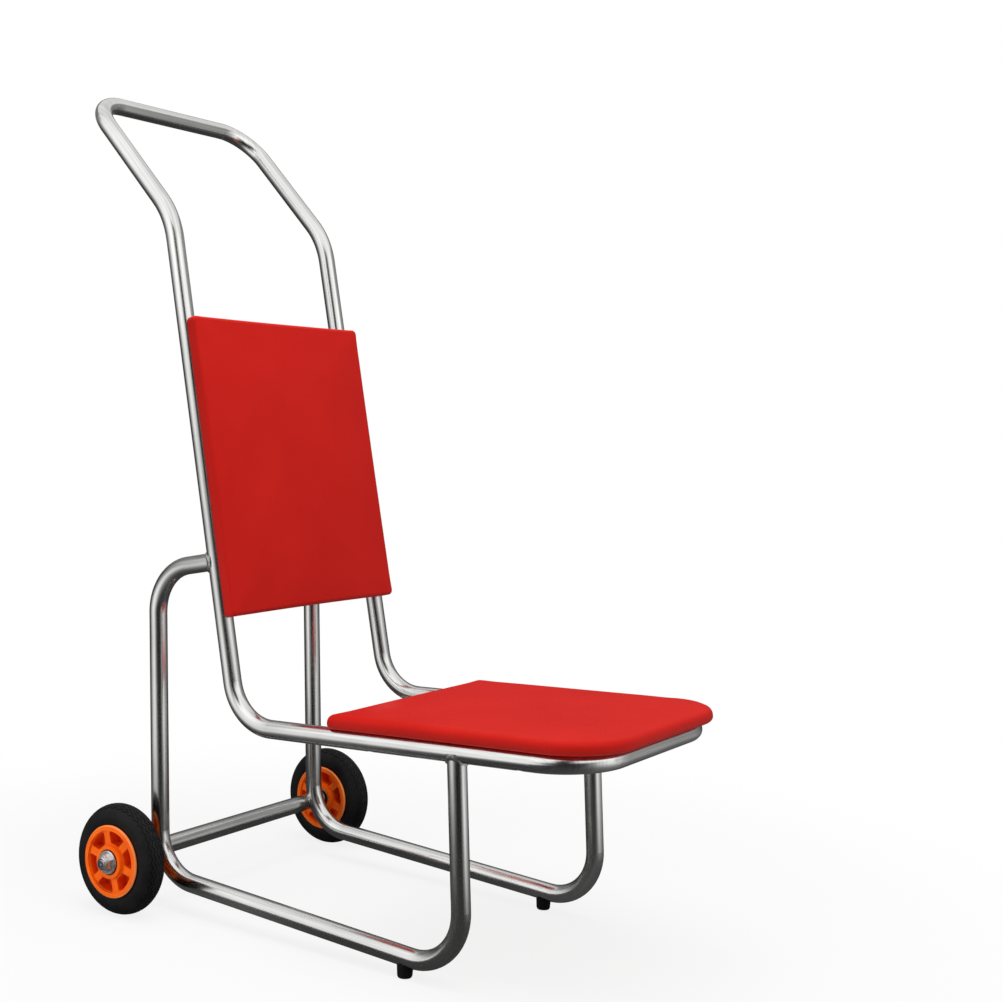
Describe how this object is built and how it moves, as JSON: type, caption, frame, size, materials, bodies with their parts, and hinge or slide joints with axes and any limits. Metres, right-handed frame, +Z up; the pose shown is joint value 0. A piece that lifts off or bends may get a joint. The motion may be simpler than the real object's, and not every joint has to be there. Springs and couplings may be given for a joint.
{
  "type": "stacking chair trolley",
  "caption": "Hand trolley for stacks of chairs: a bent steel tube frame with padded seat and back, leg loops on rubber feet, a raked push handle, and spoked wheels on a rear axle.",
  "frame": {"origin": "on the floor, under the middle of the trolley's width and length", "axes": "+X to the right side, -Y out over the front of the seat, +Y behind the handle, +Z up"},
  "size_m": [0.5252, 0.9173, 1.1619],
  "materials": {
    "frame_steel": "satin brushed",
    "weld": "brushed over",
    "plywood": "raw",
    "upholstery": "vinyl coated",
    "foot_rubber": "matte",
    "tyre": "matte",
    "rim_plastic": "moulded",
    "nylon": "matte",
    "bearing_steel": "ground",
    "zinc_steel": "zinc plated"
  },
  "bodies": {
    "frame": {"handle_tube": "frame_steel", "seat_tube": "frame_steel", "left_leg_tube": "frame_steel", "right_leg_tube": "frame_steel", "axle_tube": "frame_steel", "upright_welds": "weld", "rail_welds": "weld", "axle_welds": "weld", "seat_board": "plywood", "seat_pad": "upholstery", "seat_screws": "zinc_steel", "seat_tee_nuts": "zinc_steel", "back_board": "plywood", "back_pad": "upholstery", "back_screws": "zinc_steel", "back_tee_nuts": "zinc_steel", "left_foot": "foot_rubber", "right_foot": "foot_rubber", "foot_screws": "zinc_steel", "axle_rod": "zinc_steel", "left_axle_plug": "zinc_steel", "right_axle_plug": "zinc_steel", "left_inner_washer": "zinc_steel", "right_inner_washer": "zinc_steel", "left_outer_washer": "zinc_steel", "right_outer_washer": "zinc_steel", "left_axle_nut": "zinc_steel", "right_axle_nut": "zinc_steel", "left_lock_ring": "nylon", "right_lock_ring": "nylon", "left_bearing_sleeve": "zinc_steel", "right_bearing_sleeve": "zinc_steel", "left_inner_race_inboard": "bearing_steel", "left_inner_race_outboard": "bearing_steel", "right_inner_race_inboard": "bearing_steel", "right_inner_race_outboard": "bearing_steel"},
    "left_wheel": {"left_tyre": "tyre", "left_rim": "rim_plastic", "left_bearing_inboard": "bearing_steel", "left_bearing_outboard": "bearing_steel", "left_balls_inboard": "bearing_steel", "left_balls_outboard": "bearing_steel"},
    "right_wheel": {"right_tyre": "tyre", "right_rim": "rim_plastic", "right_bearing_inboard": "bearing_steel", "right_bearing_outboard": "bearing_steel", "right_balls_inboard": "bearing_steel", "right_balls_outboard": "bearing_steel"}
  },
  "joints": [
    {"name": "left_wheel_spin", "type": "hinge", "parent": "frame", "child": "left_wheel", "pos_m": [-0.2255, 0.26609, 0.076], "axis": [1, 0, 0], "continuous": true},
    {"name": "right_wheel_spin", "type": "hinge", "parent": "frame", "child": "right_wheel", "pos_m": [0.2255, 0.26609, 0.076], "axis": [1, 0, 0], "continuous": true}
  ]
}
